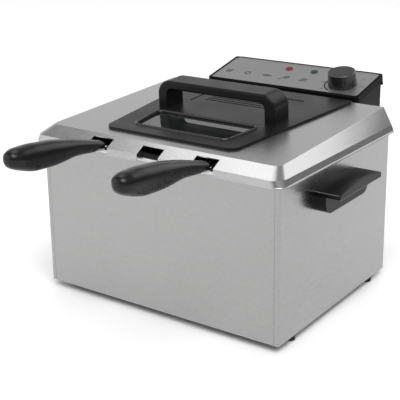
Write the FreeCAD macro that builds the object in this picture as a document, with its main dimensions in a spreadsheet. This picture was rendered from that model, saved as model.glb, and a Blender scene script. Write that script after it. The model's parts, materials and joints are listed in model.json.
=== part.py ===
import FreeCAD, Part
import math
import os

import Sketcher

# Deep fryer with two lift-out baskets, a lift-off lid and a slide-on heating unit.
# Lengths are millimetres, +Z is up, +X is the user's right and +Y points to the rear.
# The origin is on the surface that the feet stand on, under the middle of the object's box.
#
# Three frames of reference carry the sub-parts:
#   casing frame: under the middle of the casing, at the height of its lower edge
#   lid frame:    on the lid's front crease, tilted with the lid's top
#   panel frame:  on the front edge of the control panel, tilted with the panel

DIMENSIONS = {
    # casing
    "casing_width": 366.0,
    "casing_depth": 287.6,
    "casing_height": 204.0,
    "casing_offset": 31.25,
    "foot_height": 10.0,
    "sheet_gauge": 1.0,
    "bend_radius": 2.0,
    "front_return": 6.5,
    "seam_gap": 0.3,
    "handle_reach": 34.0,
    "handle_middle": -5.0,
    # pot
    "pot_half_width": 169.0,
    "pot_half_depth": 130.0,
    "pot_draft": 7.0,
    "pot_floor": 62.0,
    "rim_top": 205.6,
    "rim_overhang": 4.5,
    # lid
    "skirt_half_width": 192.6,
    "skirt_front": -154.7,
    "skirt_bottom": 201.6,
    "bevel_half_width": 188.7,
    "bevel_front": -153.8,
    "bevel_bottom": 211.0,
    "crease_half_width": 176.0,
    "crease_front": -133.5,
    "lid_rear": 138.0,
    "lid_datum": -138.6,
    "lid_datum_height": 221.77,
    "lid_tilt": 2.6,
    "notch_width": 33.0,
    "notch_pitch": 81.0,
    "notch_top": 221.4,
    "insert_rise": 3.0,
    "lid_handle_width": 187.0,
    "lid_handle_height": 37.9,
    "lid_handle_depth": 37.0,
    # baskets
    "basket_middle": 81.0,
    "basket_half_width": 73.0,
    "basket_half_depth": 107.0,
    "basket_draft": 6.0,
    "basket_floor": 95.0,
    "basket_rim": 196.0,
    "hanger_height": 209.5,
    "hanger_half_gauge": 9.0,
    "grip_root": -150.5,
    # control unit
    "unit_half_width": 122.0,
    "unit_front": 160.0,
    "unit_rear": 241.5,
    "unit_floor": 120.0,
    "panel_front": 158.0,
    "panel_height": 237.0,
    "panel_tilt": 12.9,
    "panel_half_width": 127.0,
    "panel_depth": 84.0,
    "knob_across": 85.7,
    "knob_along": 34.0,
    "knob_radius": 20.0,
    "knob_height": 20.0,
    "element_level": 80.0,
    "element_radius": 4.0,
    "channel_level": 213.0,
}

doc = FreeCAD.newDocument("deep_fryer")
sheet = doc.addObject("Spreadsheet::Sheet", "dims")
for row, (alias, value) in enumerate(DIMENSIONS.items(), start=1):
    sheet.set(f"A{row}", alias)
    sheet.set(f"B{row}", str(value))
    sheet.setAlias(f"B{row}", alias)
doc.recompute()


class Size:
    """A number together with the spreadsheet expression that it comes from."""

    def __init__(self, value, text):
        self.value = float(value)
        self.text = text

    @staticmethod
    def of(other):
        return other if isinstance(other, Size) else Size(other, repr(float(other)))

    def __add__(self, other):
        other = Size.of(other)
        return Size(self.value + other.value, f"({self.text} + {other.text})")

    def __sub__(self, other):
        other = Size.of(other)
        return Size(self.value - other.value, f"({self.text} - {other.text})")

    def __mul__(self, other):
        other = Size.of(other)
        return Size(self.value * other.value, f"({self.text} * {other.text})")

    def __truediv__(self, other):
        other = Size.of(other)
        return Size(self.value / other.value, f"({self.text} / {other.text})")

    def __neg__(self):
        return Size(-self.value, f"(0 - {self.text})")

    __radd__ = __add__
    __rmul__ = __mul__

    def __rsub__(self, other):
        return Size.of(other) - self


def dim(alias):
    """A driving dimension as a Size."""
    return Size(sheet.get(alias), f"dims.{alias}")


def number(size):
    """The plain number of a Size or of a number."""
    return size.value if isinstance(size, Size) else float(size)


def bind(item, prop, size):
    """Set a property, and tie it to the spreadsheet where the size comes from there."""
    if isinstance(size, Size):
        item.setExpression(prop, size.text)
    else:
        setattr(item, prop, size)


# ---------------------------------------------------------------- frames of reference

class Frame:
    """Where a sub-part's own coordinates lie in the object."""

    def __init__(self, y, z, tilt=None, x=0.0):
        self.x = x
        self.y = y
        self.z = z
        self.tilt = tilt

    def apply(self, item):
        item.setExpression("Placement.Base.x", Size.of(self.x).text)
        item.setExpression("Placement.Base.y", self.y.text)
        item.setExpression("Placement.Base.z", self.z.text)
        if self.tilt is not None:
            item.setExpression("Placement.Rotation.Axis.x", "1")
            item.setExpression("Placement.Rotation.Axis.z", "0")
            item.setExpression("Placement.Rotation.Angle", self.tilt.text)

    def placement(self):
        tilt = number(self.tilt) if self.tilt is not None else 0.0
        base = FreeCAD.Vector(number(self.x), number(self.y), number(self.z))
        return FreeCAD.Placement(base, FreeCAD.Rotation(FreeCAD.Vector(1, 0, 0), tilt))


HALF_WIDTH = dim("casing_width") / 2
HALF_DEPTH = dim("casing_depth") / 2
HEIGHT = dim("casing_height")
GAUGE = dim("sheet_gauge")

CASING = Frame(dim("casing_offset"), dim("foot_height"))
LID = Frame(
    dim("casing_offset") + dim("lid_datum"),
    dim("foot_height") + dim("lid_datum_height"),
    dim("lid_tilt"),
)
PANEL = Frame(
    dim("casing_offset") + dim("panel_front"),
    dim("foot_height") + dim("panel_height"),
    dim("panel_tilt"),
)

# ---------------------------------------------------------------- sketch and feature helpers

SUB_PARTS = []


def new_body(label, frame):
    """An empty body with its name and its place; AllowCompound lets it hold a group of screws."""
    body = doc.addObject("PartDesign::Body", label)
    body.Label = label
    body.AllowCompound = True
    frame.apply(body)
    SUB_PARTS.append(body)
    return body


def circle(x, y, radius):
    return ("circle", x, y, radius)


def box(low_x, low_y, high_x, high_y, bend=None):
    """A rectangle's four corners, all with the same bend radius."""
    corners = [(low_x, low_y), (high_x, low_y), (high_x, high_y), (low_x, high_y)]
    return corners if bend is None else [(x, y, bend) for x, y in corners]


def draw_circle(sketch, shape):
    _, x, y, radius = shape
    centre = FreeCAD.Vector(number(x), number(y), 0)
    index = sketch.addGeometry(Part.Circle(centre, FreeCAD.Vector(0, 0, 1), number(radius)))
    values = {"across": x, "along": y, "radius_of": radius}
    rules = {
        "across": Sketcher.Constraint("DistanceX", -1, 1, index, 3, number(x)),
        "along": Sketcher.Constraint("DistanceY", -1, 1, index, 3, number(y)),
        "radius_of": Sketcher.Constraint("Radius", index, number(radius)),
    }
    for key, rule in rules.items():
        constrain(sketch, rule, f"{key}_{index}", values[key])


def constrain(sketch, rule, name, size):
    index = sketch.addConstraint(rule)
    if isinstance(size, Size):
        sketch.renameConstraint(index, name)
        sketch.setExpression(f"Constraints.{name}", size.text)


def corner_arc(before, here, after, radius):
    """The tangent arc at a corner, and whether it runs with the outline's direction."""
    back = (before - here).normalize()
    ahead = (after - here).normalize()
    half = back.getAngle(ahead) / 2
    leave = here + back * (radius / math.tan(half))
    join = here + ahead * (radius / math.tan(half))
    centre = here + (back + ahead).normalize() * (radius / math.sin(half))
    turns_left = (here - before).cross(after - here).z > 0
    start, end = (leave, join) if turns_left else (join, leave)
    angles = [math.atan2((p - centre).y, (p - centre).x) for p in (start, end)]
    arc = Part.ArcOfCircle(Part.Circle(centre, FreeCAD.Vector(0, 0, 1), radius), *angles)
    return leave, join, arc, turns_left


def draw_outline(sketch, corners):
    """Straight sides between corners (x, y) or (x, y, bend radius), fully constrained."""
    points = [FreeCAD.Vector(number(c[0]), number(c[1]), 0) for c in corners]
    count = len(corners)
    ends = []
    for i, corner in enumerate(corners):
        if len(corner) == 2:
            ends.append((points[i], points[i], None, None))
        else:
            ends.append(corner_arc(points[i - 1], points[i], points[(i + 1) % count], number(corner[2])))
    lines = []
    for i in range(count):
        side = Part.LineSegment(ends[i][1], ends[(i + 1) % count][0])
        lines.append(sketch.addGeometry(side))
    for i, corner in enumerate(corners):
        before, after = lines[i - 1], lines[i]
        tag = f"{lines[i]}"
        if len(corner) == 2:
            sketch.addConstraint(Sketcher.Constraint("Coincident", before, 2, after, 1))
            holder = after
        else:
            arc = sketch.addGeometry(ends[i][2])
            first, last = (1, 2) if ends[i][3] else (2, 1)
            sketch.addConstraint(Sketcher.Constraint("Tangent", before, 2, arc, first))
            sketch.addConstraint(Sketcher.Constraint("Tangent", arc, last, after, 1))
            constrain(sketch, Sketcher.Constraint("Radius", arc, number(corner[2])), f"bend_{tag}", corner[2])
            holder = sketch.addGeometry(Part.Point(points[i]), True)
            sketch.addConstraint(Sketcher.Constraint("PointOnObject", holder, 1, before))
            sketch.addConstraint(Sketcher.Constraint("PointOnObject", holder, 1, after))
        across = Sketcher.Constraint("DistanceX", -1, 1, holder, 1, points[i].x)
        along = Sketcher.Constraint("DistanceY", -1, 1, holder, 1, points[i].y)
        constrain(sketch, across, f"across_{tag}", corner[0])
        constrain(sketch, along, f"along_{tag}", corner[1])


def sketch_on(body, plane, level, shapes):
    """A sketch on one of the body's own planes; the XZ plane faces -Y, so its level is turned."""
    sketch = body.newObject("Sketcher::SketchObject", f"{body.Name}_sketch")
    support = next(item for item in body.Origin.OriginFeatures if item.Role == f"{plane}_Plane")
    sketch.AttachmentSupport = [(support, "")]
    sketch.MapMode = "FlatFace"
    offset = -level if plane == "XZ" else level
    bind(sketch, "AttachmentOffset.Base.z", Size.of(offset))
    for shape in shapes:
        if shape[0] == "circle":
            draw_circle(sketch, shape)
        else:
            draw_outline(sketch, shape)
    return sketch


def extrude(kind, body, plane, low, high, shapes, taper):
    start = high if plane == "XZ" else low
    feature = body.newObject(f"PartDesign::{kind}", f"{body.Name}_{kind.lower()}")
    feature.Profile = sketch_on(body, plane, start, shapes)
    bind(feature, "Length", Size.of(high - low))
    feature.TaperAngle = taper
    return feature


def add(body, plane, low, high, *shapes, taper=0.0):
    """Pad the shapes from one level of the plane to a higher one."""
    feature = extrude("Pad", body, plane, low, high, shapes, taper)
    doc.recompute()
    return feature


def cut(body, plane, low, high, *shapes, taper=0.0):
    """Pocket the shapes between two levels, and check that material really goes."""
    volume = body.Shape.Volume
    feature = extrude("Pocket", body, plane, low, high, shapes, taper)
    feature.Reversed = True
    doc.recompute()
    if body.Shape.Volume >= volume - 0.01:
        raise RuntimeError(f"{feature.Name} cuts nothing")
    return feature


def round_edges(body, radius, wanted):
    """Fillet the edges of the body's last feature for which wanted(edge) is true."""
    tip = body.Tip
    names = [f"Edge{i}" for i, edge in enumerate(tip.Shape.Edges, start=1) if wanted(edge)]
    fillet = body.newObject("PartDesign::Fillet", f"{body.Name}_fillet")
    fillet.Base = (tip, names)
    fillet.Radius = radius
    doc.recompute()
    return fillet


def loft(body, low, low_outline, high, high_outline, removes=False):
    """A straight-sided loft between two outlines that lie on levels of the XY plane."""
    kind = "SubtractiveLoft" if removes else "AdditiveLoft"
    feature = body.newObject(f"PartDesign::{kind}", f"{body.Name}_loft")
    feature.Profile = sketch_on(body, "XY", low, [low_outline])
    feature.Sections = [sketch_on(body, "XY", high, [high_outline])]
    feature.Ruled = True
    doc.recompute()
    return feature


X_AXIS = FreeCAD.Vector(1, 0, 0)
Y_AXIS = FreeCAD.Vector(0, 1, 0)
Z_AXIS = FreeCAD.Vector(0, 0, 1)


def solid_feature(label, shape, frame):
    """A sub-part whose shape is made by Part's own functions."""
    item = doc.addObject("Part::Feature", label)
    item.Label = label
    item.Shape = shape
    item.Placement = frame.placement()
    frame.apply(item)
    SUB_PARTS.append(item)
    return item


def bent_rod(points, radius, bend):
    """A round rod along straight runs joined by tangent arcs."""
    points = [FreeCAD.Vector(*p) for p in points]
    edges = []
    start = points[0]
    for before, here, after in zip(points, points[1:], points[2:]):
        back = (before - here).normalize()
        ahead = (after - here).normalize()
        half = back.getAngle(ahead) / 2
        leave = here + back * (bend / math.tan(half))
        join = here + ahead * (bend / math.tan(half))
        centre = here + (back + ahead).normalize() * (bend / math.sin(half))
        middle = centre + (here - centre).normalize() * bend
        if (leave - start).Length > 1e-6:
            edges.append(Part.LineSegment(start, leave).toShape())
        edges.append(Part.Arc(leave, middle, join).toShape())
        start = join
    edges.append(Part.LineSegment(start, points[-1]).toShape())
    path = Part.Wire(edges)
    direction = points[1] - points[0]
    profile = Part.Wire([Part.Circle(points[0], direction, radius).toShape()])
    return path.makePipeShell([profile], True, True)


def sides(half_width, low_y, high_y, bend):
    """A rectangle that is symmetric about the middle plane."""
    return box(-half_width, low_y, half_width, high_y, bend)


def screws(label, frame, plane, places, shank, head):
    """A group of identical screws: shank and head are (radius, low level, high level)."""
    body = new_body(label, frame)
    add(body, plane, shank[1], shank[2], *[circle(x, y, shank[0]) for x, y in places])
    add(body, plane, head[1], head[2], *[circle(x, y, head[0]) for x, y in places])
    return body


# ---------------------------------------------------------------- casing

FOOT_PLACES = [(-173, -100), (173, -100), (-173, 110), (173, 110)]
FOOT_NAMES = ["foot_front_left", "foot_front_right", "foot_rear_left", "foot_rear_right"]
RAIL_PLACES = [-80, 80]
RAIL_LOW, RAIL_HIGH = 100, 190
HANDLE_SCREW_OFFSETS = [-35, 35]
HANDLE_SCREW_LEVEL = 157


def casing_wrapper():
    """Both sides and the rear in one sheet, with narrow returns round the front corners."""
    body = new_body("casing_wrapper", CASING)
    inner_x = HALF_WIDTH - GAUGE
    inner_y = HALF_DEPTH - GAUGE
    bend = dim("bend_radius")
    add(body, "XY", 0, HEIGHT, sides(HALF_WIDTH, -HALF_DEPTH, HALF_DEPTH, bend))
    cut(body, "XY", 0, HEIGHT, sides(inner_x, -inner_y, inner_y, bend - GAUGE))
    opening = HALF_WIDTH - dim("front_return")
    cut(body, "XY", 0, HEIGHT, box(-opening, -HALF_DEPTH - 1, opening, -inner_y + 1))
    middle = number(dim("handle_middle"))
    holes = [circle(middle + y, HANDLE_SCREW_LEVEL, 2.2) for y in HANDLE_SCREW_OFFSETS]
    cut(body, "YZ", -HALF_WIDTH - 1, HALF_WIDTH + 1, *holes)
    rivets = [circle(x, z, 1.6) for x, z in rail_rivet_places()]
    cut(body, "XZ", inner_y - 1, HALF_DEPTH + 1, *rivets)


def casing_front():
    """The front sheet, set between the returns, with flanges that are welded inside."""
    body = new_body("casing_front", CASING)
    half = HALF_WIDTH - dim("front_return") - dim("seam_gap")
    face = -HALF_DEPTH
    add(body, "XY", 0, HEIGHT, box(-half, face, half, face + 12))
    cut(body, "XY", 0, HEIGHT, box(-half + GAUGE, face + GAUGE, half - GAUGE, face + 13))
    for low, high in [(0, 12.5), (HEIGHT - 15.5, HEIGHT)]:
        cut(body, "XY", low, high, box(-half - 1, face + GAUGE, half + 1, face + 13))


def rim_frame():
    """The inner frame that stiffens the top of the casing and carries the pot's rim."""
    body = new_body("rim_frame", CASING)
    outer_x = HALF_WIDTH - GAUGE - 0.1
    outer_y = HALF_DEPTH - GAUGE - 0.1
    add(body, "XY", HEIGHT - 15, HEIGHT, sides(outer_x, -outer_y, outer_y, 2.5))
    cut(body, "XY", HEIGHT - 15, HEIGHT - GAUGE, sides(outer_x - GAUGE, GAUGE - outer_y, outer_y - GAUGE, 2))
    opening_x = dim("pot_half_width") + 3.5
    opening_y = dim("pot_half_depth") + 3.5
    cut(body, "XY", HEIGHT - 2, HEIGHT, sides(opening_x, -opening_y, opening_y, 30))


def base_plate():
    """The bottom tray, with a hole for each foot's screw and slots that let air in."""
    body = new_body("base_plate", CASING)
    half_x = HALF_WIDTH - GAUGE - 0.2
    half_y = HALF_DEPTH - GAUGE - 0.2
    add(body, "XY", 0, 12, sides(half_x, -half_y, half_y, 2.5))
    cut(body, "XY", 1.2, 12, sides(half_x - 1.2, 1.2 - half_y, half_y - 1.2, 1.5))
    holes = [circle(x, y, 2.2) for x, y in FOOT_PLACES]
    cut(body, "XY", 0, 1.2, *holes)
    slots = [box(x - 3, -30, x + 3, 30, 2.9) for x in range(-60, 61, 15)]
    cut(body, "XY", 0, 1.2, *slots)


def feet():
    """Four rubber feet: a wide thin collar under the base plate and a round stem."""
    for name, (x, y) in zip(FOOT_NAMES, FOOT_PLACES):
        foot = new_body(name, CASING)
        add(foot, "XY", -1.8, -0.02, circle(x, y, 9))
        add(foot, "XY", -dim("foot_height"), -1.8, circle(x, y, 6.8))
        cut(foot, "XY", -dim("foot_height"), -6, circle(x, y, 3.6))
        cut(foot, "XY", -6, 0, circle(x, y, 1.9))
    places = FOOT_PLACES
    screws("foot_screws", CASING, "XY", places, (1.8, -5.9, 1.25), (3.8, 1.25, 3.4))


def side_handle(name, side):
    """A lift handle: a hood that the fingers hook under, above a shallower rounded body."""
    body = new_body(name, CASING)
    middle = dim("handle_middle")

    def between(near, far):
        low, high = sorted([side * near, side * far])
        return low, high

    wall = number(HALF_WIDTH) + 0.02
    reach = number(HALF_WIDTH + dim("handle_reach"))
    low, high = between(wall, 200.5)
    lower = [
        (middle - 61, 146, 16), (middle + 51.5, 146, 13),
        (middle + 51.5, 169), (middle - 61, 169),
    ]
    add(body, "YZ", low, high, lower)
    low, high = between(wall, reach)
    hood = [
        (middle - 56, 167.5), (middle + 56, 167.5), (middle + 56, 173.4, 2),
        (middle, 186.8, 225), (middle - 56, 173.4, 2),
    ]
    add(body, "YZ", low, high, hood)
    low, high = between(wall, 196)
    bores = [circle(middle + y, HANDLE_SCREW_LEVEL, 1.7) for y in HANDLE_SCREW_OFFSETS]
    cut(body, "YZ", low, high, *bores)
    rounded_x = side * reach

    def on_hood_front(edge):
        spans = [abs(v.Point.x - rounded_x) < 0.01 for v in edge.Vertexes]
        return all(spans) and edge.BoundBox.ZMax > 170

    round_edges(body, 1.5, on_hood_front)


def side_handle_screws():
    """Two screws for each side handle, driven from inside the casing."""
    body = new_body("side_handle_screws", CASING)
    middle = number(dim("handle_middle"))
    shanks = [circle(middle + y, HANDLE_SCREW_LEVEL, 1.65) for y in HANDLE_SCREW_OFFSETS]
    heads = [circle(middle + y, HANDLE_SCREW_LEVEL, 3.8) for y in HANDLE_SCREW_OFFSETS]
    inside = HALF_WIDTH - GAUGE - 0.02
    for low, high in [(inside, HALF_WIDTH + 10), (-(HALF_WIDTH + 10), -inside)]:
        add(body, "YZ", low, high, *shanks)
    for low, high in [(inside - 2.4, inside), (-inside, -inside + 2.4)]:
        add(body, "YZ", low, high, *heads)


def rail_rivet_places():
    """Two rivets to a rail, one on each side of the slot, clear of the rib that slides between."""
    ends = ((-11, RAIL_LOW + 12), (11, RAIL_HIGH - 12))
    return [(x + across, z) for x in RAIL_PLACES for across, z in ends]


def guide_rails():
    """Two upright channels on the rear wall, which the heating unit slides into from above."""
    rear = number(HALF_DEPTH)
    places = rail_rivet_places()
    body = new_body("guide_rails", CASING)
    add(body, "XY", RAIL_LOW, RAIL_HIGH, *[box(x - 15, rear + 0.01, x + 15, rear + 6) for x in RAIL_PLACES])
    slides = [box(x - 13.8, rear + 1.2, x + 13.8, rear + 4.8) for x in RAIL_PLACES]
    cut(body, "XY", RAIL_LOW, RAIL_HIGH, *slides)
    cut(body, "XY", RAIL_LOW, RAIL_HIGH, *[box(x - 5, rear + 4, x + 5, rear + 7) for x in RAIL_PLACES])
    cut(body, "XZ", rear - 0.5, rear + 1.5, *[circle(x, z, 1.6) for x, z in places])
    body = screws("rail_rivets", CASING, "XZ", places, (1.55, rear - 3, rear + 1.2), (2.4, rear + 1.2, rear + 1.9))
    add(body, "XZ", rear - 3, rear - 1, *[circle(x, z, 2.6) for x, z in places])
    tab = new_body("interlock_tab", CASING)
    add(tab, "XZ", rear + 0.01, rear + 1.5, box(-10, 140, 10, 175, 2))
    add(tab, "XZ", rear + 0.01, rear + 5.2, box(-5, 144, 5, 156, 1))


# ---------------------------------------------------------------- pot

def oil_pot():
    """The oil pot: tapered walls, a flat rim over the casing's edge and a turned-down lip."""
    body = new_body("oil_pot", CASING)
    half_x = dim("pot_half_width")
    half_y = dim("pot_half_depth")
    draft = dim("pot_draft")
    top = dim("rim_top")
    floor = dim("pot_floor")
    loft(body, floor, sides(half_x - draft, draft - half_y, half_y - draft, 26),
         top, sides(half_x, -half_y, half_y, 30))
    lip_x = HALF_WIDTH + dim("rim_overhang")
    lip_y = HALF_DEPTH + dim("rim_overhang")
    add(body, "XY", top - 1.2, top, sides(lip_x, -lip_y, lip_y, 7))
    add(body, "XY", top - 4, top - 1.1, sides(lip_x, -lip_y, lip_y, 7),
        sides(lip_x - 1, 1 - lip_y, lip_y - 1, 6))
    loft(body, floor + 1.2, sides(half_x - draft - 1, draft - half_y + 1, half_y - draft - 1, 25),
         top + 0.1, sides(half_x - 1, 1 - half_y, half_y - 1, 29), removes=True)
    ribs = [box(x - 9, 144.9, x + 9, lip_y + 1) for x in RAIL_PLACES]
    cut(body, "XY", top - 4.1, top + 0.1, *ribs)


# ---------------------------------------------------------------- baskets

GRIP_STATIONS = [
    # distance from the tip, middle height, half width, half height
    (0.0, 230.8, 4.4, 5.0),
    (4.0, 230.5, 10.2, 9.6),
    (14.0, 229.5, 14.8, 13.2),
    (38.0, 225.7, 16.0, 16.9),
    (75.0, 222.6, 15.9, 15.9),
    (110.0, 220.4, 13.5, 10.7),
    (140.0, 214.4, 11.5, 8.5),
    (158.0, 210.8, 10.9, 6.7),
]


def basket_outline(middle, shrink, inset):
    """The basket's plan at some height, as a rounded rectangle."""
    half_x = dim("basket_half_width") - shrink - inset
    half_y = dim("basket_half_depth") - shrink - inset
    centre = -11
    return box(middle - half_x, centre - half_y, middle + half_x, centre + half_y, 16 - inset)


def basket_tub(side, middle):
    """The wire-mesh tub, as a thin wall of the mesh's thickness."""
    body = new_body(f"basket_{side}_mesh", CASING)
    floor = dim("basket_floor")
    rim = dim("basket_rim")
    draft = dim("basket_draft")
    loft(body, floor, basket_outline(middle, draft, 0), rim, basket_outline(middle, 0, 0))
    loft(body, floor + 1.5, basket_outline(middle, draft, 1.5), rim + 0.1,
         basket_outline(middle, 0, 1.5), removes=True)


def basket_rim(side, middle):
    """The round rim wire that the mesh is welded to."""
    half_x = number(dim("basket_half_width")) + 2.2
    half_y = number(dim("basket_half_depth")) + 2.2
    level = number(dim("basket_rim"))
    x = number(middle)
    low_y, high_y = -11 - half_y, -11 + half_y
    ring = [
        (x, low_y, level), (x - half_x, low_y, level), (x - half_x, high_y, level),
        (x + half_x, high_y, level), (x + half_x, low_y, level), (x + 0.02, low_y, level),
    ]
    solid_feature(f"basket_{side}_rim", bent_rod(ring, 2.0, 18), CASING)


def basket_hanger(side, middle):
    """Two bent wires from the basket's front, over the pot's rim and into the grip."""
    level = number(dim("hanger_height"))
    half = number(dim("hanger_half_gauge"))
    end = number(dim("grip_root")) - 15
    face = -11 - number(dim("basket_half_depth")) - 7.0
    rods = []
    for x in (number(middle) - half, number(middle) + half):
        points = [(x, face, 168), (x, face, level), (x, end, level)]
        rods.append(bent_rod(points, 2.0, 8))
    solid_feature(f"basket_{side}_hanger", Part.makeCompound(rods), CASING)
    plate = new_body(f"basket_{side}_clip", CASING)
    x = number(middle)
    add(plate, "XZ", face + 2.02, face + 2.78, box(x - 15, 168, x + 15, 199, 3))


def basket_grip(side, middle):
    """The moulded grip: oval sections that grow from the root into a full, rounded end."""
    x = number(middle)
    tip = number(dim("grip_root")) - GRIP_STATIONS[-1][0]
    rings = []
    for distance, height, half_width, half_height in GRIP_STATIONS:
        centre = FreeCAD.Vector(x, tip + distance, height)
        rings.append(oval(centre, half_width, half_height))
    shape = Part.makeLoft(rings, True, False)
    half = number(dim("hanger_half_gauge"))
    level = number(dim("hanger_height"))
    for offset in (-half, half):
        foot = FreeCAD.Vector(x + offset, number(dim("grip_root")) - 16, level)
        shape = shape.cut(Part.makeCylinder(2.05, 30, foot, Y_AXIS))
    solid_feature(f"basket_{side}_grip", shape, CASING)


def oval(centre, half_width, half_height):
    """An ellipse that faces along Y, started at its right-hand end whatever its proportions."""
    if half_width >= half_height:
        curve = Part.Ellipse(centre + X_AXIS * half_width, centre + Z_AXIS * half_height, centre)
        return Part.Wire([curve.toShape()])
    curve = Part.Ellipse(centre + Z_AXIS * half_height, centre - X_AXIS * half_width, centre)
    turn = -math.pi / 2
    return Part.Wire([Part.ArcOfEllipse(curve, turn, turn + 2 * math.pi).toShape()])


def baskets():
    for side, middle in (("left", -dim("basket_middle")), ("right", dim("basket_middle"))):
        basket_tub(side, middle)
        basket_rim(side, middle)
        basket_hanger(side, middle)
        basket_grip(side, middle)


# ---------------------------------------------------------------- lid

INSERT_FRONT, INSERT_REAR = 24.6, 275.0
INSERT_FRONT_HALF, INSERT_REAR_HALF = 100.7, 131.0
WINDOW_FRONT, WINDOW_REAR = 49.0, 115.6
WINDOW_FRONT_HALF, WINDOW_REAR_HALF = 72.0, 80.0
FILTER_LOW, FILTER_HIGH, FILTER_HALF = 176, 243, 73
LID_HANDLE_FRONT = 130.0
LID_SCREW_PLACES = [(x, y) for x in (-85.5, 85.5) for y in (139, 158)]


def trapezoid(front, rear, front_half, rear_half, bend, inset=0.0):
    """A symmetric outline that widens to the rear, drawn in by an inset."""
    return [
        (inset - front_half, front + inset, bend),
        (front_half - inset, front + inset, bend),
        (rear_half - inset, rear - inset, bend),
        (inset - rear_half, rear - inset, bend),
    ]


def window(inset):
    return trapezoid(WINDOW_FRONT, WINDOW_REAR, WINDOW_FRONT_HALF, WINDOW_REAR_HALF, 12 - inset, inset)


def insert_outline(inset, bend):
    outline = trapezoid(INSERT_FRONT, INSERT_REAR, INSERT_FRONT_HALF, INSERT_REAR_HALF, bend, inset)
    rear_bend = 4
    return outline[:2] + [(x, y, rear_bend) for x, y, _ in outline[2:]]


def outline_wire(corners, placement):
    """A closed wire of straight sides and corner arcs, carried to a placement."""
    points = [FreeCAD.Vector(c[0], c[1], 0) for c in corners]
    count = len(points)
    ends = []
    for i, corner in enumerate(corners):
        if len(corner) == 2:
            ends.append((points[i], points[i], None, None))
        else:
            ends.append(corner_arc(points[i - 1], points[i], points[(i + 1) % count], corner[2]))
    edges = []
    for i in range(count):
        if ends[i][2] is not None:
            edges.append(ends[i][2].toShape())
        edges.append(Part.LineSegment(ends[i][1], ends[(i + 1) % count][0]).toShape())
    wire = Part.Wire(edges)
    wire.Placement = placement
    return wire


def lid_plan(front, rear, half, bend):
    """The lid seen from above, square at the rear."""
    return [(-half, rear), (-half, front, bend), (half, front, bend), (half, rear)]


def lid_block(inset, bottom):
    """The lid's outer form, flared skirt and bevels, or the same form drawn in by an inset."""
    rear = number(dim("lid_rear")) - inset
    flare = (dim("skirt_half_width") - dim("bevel_half_width")) / (dim("bevel_bottom") - dim("skirt_bottom"))
    foot = number(dim("skirt_half_width") + (dim("skirt_bottom") - bottom) * flare)
    lower = lid_plan(number(dim("skirt_front")) + inset, rear, foot - 1.08 * inset, 15 - inset)
    bevel_front = number(dim("bevel_front")) + 0.95 * inset
    middle = lid_plan(bevel_front, rear, number(dim("bevel_half_width")) - 0.83 * inset, 15 - inset)
    slope = math.cos(math.radians(number(dim("lid_tilt"))))
    crease = (number(dim("crease_front")) - number(dim("lid_datum"))) / slope
    top_rear = (rear - number(dim("lid_datum"))) / slope
    upper = lid_plan(crease + 0.25 * inset, top_rear, number(dim("crease_half_width")) - 0.37 * inset, 10 - inset)
    level = number(dim("bevel_bottom")) - 0.6 * inset
    on_foot = FreeCAD.Placement(FreeCAD.Vector(0, 0, bottom), FreeCAD.Rotation())
    on_bevel = FreeCAD.Placement(FreeCAD.Vector(0, 0, level), FreeCAD.Rotation())
    down = FreeCAD.Placement(FreeCAD.Vector(0, 0, -inset), FreeCAD.Rotation())
    on_top = CASING.placement().inverse() * LID.placement() * down
    skirt = Part.makeLoft([outline_wire(lower, on_foot), outline_wire(middle, on_bevel)], True, True)
    slopes = Part.makeLoft([outline_wire(middle, on_bevel), outline_wire(upper, on_top)], True, True)
    return skirt.fuse(slopes).removeSplitter()


def lid_shell():
    """The steel lid: a sloping top, bevels, a flared skirt, three front notches and a rear gap."""
    gauge = number(GAUGE)
    bottom = number(dim("skirt_bottom"))
    outer = lid_block(0.0, bottom)
    shell = outer.cut(lid_block(gauge, bottom - 5))
    pitch = number(dim("notch_pitch"))
    half = number(dim("notch_width")) / 2
    top = number(dim("notch_top"))
    for middle in (-pitch, 0.0, pitch):
        shape = [(middle - half, 190), (middle + half, 190), (middle + half, top, 3), (middle - half, top, 3)]
        front_on = FreeCAD.Placement(FreeCAD.Vector(0, -139, 0), FreeCAD.Rotation(X_AXIS, 90))
        face = Part.Face(outline_wire(shape, front_on))
        shell = shell.cut(face.extrude(FreeCAD.Vector(0, -30, 0)))
    rear = number(dim("lid_rear"))
    width = number(dim("bevel_half_width"))
    rim_gap = Part.makeBox(2 * width - 2 * gauge, 20, 20, FreeCAD.Vector(gauge - width, rear - 5, 188))
    hood_gap = Part.makeBox(130, 20, 40, FreeCAD.Vector(-65, rear - 5, 180.5))
    shell = shell.cut(rim_gap).cut(hood_gap)
    rest_height = number(dim("rim_top")) + 0.3
    for low_x in (-190.2, 179.0):
        rest = Part.makeBox(11.2, 220, 1, FreeCAD.Vector(low_x, -110, rest_height))
        shell = shell.fuse(rest)
    hole = outline_wire(plain(insert_outline(5.6, 10)), FreeCAD.Placement())
    hole_prism = Part.Face(hole).extrude(FreeCAD.Vector(0, 0, 4))
    hole_prism.Placement = CASING.placement().inverse() * LID.placement() * FreeCAD.Placement(
        FreeCAD.Vector(0, 0, -2), FreeCAD.Rotation())
    solid_feature("lid_shell", shell.cut(hole_prism), CASING)


def plain(corners):
    """Corners with their Sizes turned into numbers."""
    return [tuple(number(value) for value in corner) for corner in corners]


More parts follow.
